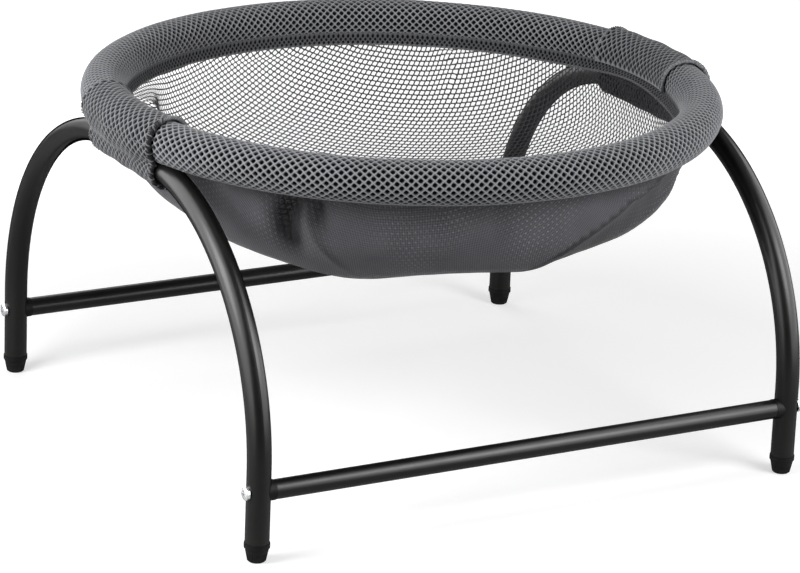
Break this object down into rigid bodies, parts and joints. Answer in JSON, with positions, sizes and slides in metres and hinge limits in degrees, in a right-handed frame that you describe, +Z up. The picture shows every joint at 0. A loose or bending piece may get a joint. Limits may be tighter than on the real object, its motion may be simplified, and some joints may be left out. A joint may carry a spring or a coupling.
{
  "type": "cat hammock",
  "caption": "Raised round pet hammock: a padded mesh ring with a hanging mesh basin, strapped by flaps to bent tube arches that straight stretchers join.",
  "frame": {"origin": "on the floor, under the middle of the rim", "axes": "+X along the stretchers to the right, +Y to the rear along the arches, +Z up"},
  "size_m": [0.4436, 0.439, 0.254],
  "materials": {
    "black_powder_coat": "satin black powder coat on steel tube",
    "black_plastic": "moulded black plastic",
    "zinc": "bright zinc plating",
    "hoop_steel": "plain steel tube",
    "foam": "soft foam",
    "air_mesh": "grey spacer mesh over a black back",
    "basin_mesh": "dark grey sandwich mesh, open net inside and a fine face outside",
    "black_tape": "woven tape and hook and loop strip"
  },
  "bodies": {
    "stand": {"left_arch": "black_powder_coat", "right_arch": "black_powder_coat", "front_stretcher": "black_powder_coat", "rear_stretcher": "black_powder_coat", "front_left_foot": "black_plastic", "front_right_foot": "black_plastic", "rear_left_foot": "black_plastic", "rear_right_foot": "black_plastic", "front_left_saddle": "black_plastic", "front_right_saddle": "black_plastic", "rear_left_saddle": "black_plastic", "rear_right_saddle": "black_plastic", "leg_screws": "zinc", "captive_nuts": "zinc", "hoop_front_half": "hoop_steel", "hoop_rear_half": "hoop_steel", "left_hoop_joiner": "hoop_steel", "right_hoop_joiner": "hoop_steel", "rim_foam_front": "foam", "rim_foam_rear": "foam", "rim_cover": "air_mesh", "left_flap": "air_mesh", "right_flap": "air_mesh", "left_loop_tab": "air_mesh", "right_loop_tab": "air_mesh", "basin": "basin_mesh", "hem_tape": "black_tape", "left_loop_strip": "black_tape", "right_loop_strip": "black_tape"},
    "left_strap": {"left_flap_tail": "air_mesh", "left_hook_strip": "black_tape"},
    "right_strap": {"right_flap_tail": "air_mesh", "right_hook_strip": "black_tape"}
  },
  "joints": [
    {"name": "left_strap_fold", "type": "hinge", "parent": "stand", "child": "left_strap", "pos_m": [-0.2109, 0, 0.2185], "axis": [0, 1, 0], "range_deg": [0, 110]},
    {"name": "right_strap_fold", "type": "hinge", "parent": "stand", "child": "right_strap", "pos_m": [0.2109, 0, 0.2185], "axis": [0, -1, 0], "range_deg": [0, 110]}
  ]
}
